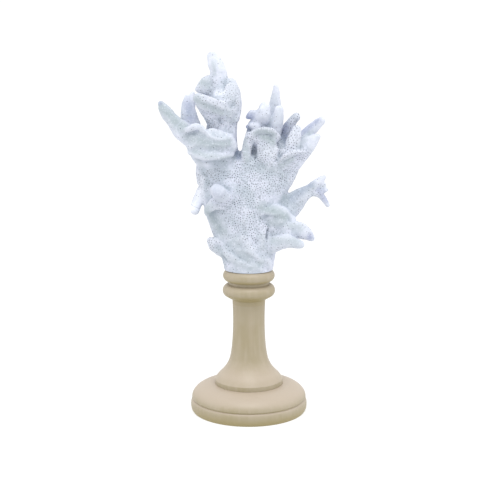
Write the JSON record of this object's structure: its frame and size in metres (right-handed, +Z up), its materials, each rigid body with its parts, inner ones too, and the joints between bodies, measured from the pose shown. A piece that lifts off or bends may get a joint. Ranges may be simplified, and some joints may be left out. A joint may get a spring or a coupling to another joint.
{
  "type": "branching coral on a pedestal",
  "caption": "Piece of white branching coral with leaf-like fingers and a pitted surface, standing on a turned and painted pedestal.",
  "frame": {"origin": "on the surface the pedestal stands on, under the centre of its foot", "axes": "+Z up along the pedestal's axis, +X to the right of someone who faces the coral's front, -Y towards them"},
  "size_m": [0.1771, 0.1248, 0.3803],
  "materials": {
    "coral": "matte, finely pitted",
    "painted_wood": "turned and painted a satin cream"
  },
  "bodies": {
    "root": {"pedestal_foot": "painted_wood", "pedestal_column": "painted_wood", "coral_trunk": "coral", "coral_left_fork": "coral", "coral_crown": "coral", "coral_top_finger": "coral", "coral_left_finger": "coral", "coral_second_finger": "coral", "coral_right_fork": "coral", "coral_knob_branch": "coral", "coral_third_finger": "coral", "coral_outer_fingers": "coral", "coral_middle_branch": "coral", "coral_lower_finger": "coral", "coral_side_stub": "coral", "coral_side_finger": "coral", "coral_back_left": "coral", "coral_back_right": "coral"}
  },
  "joints": []
}
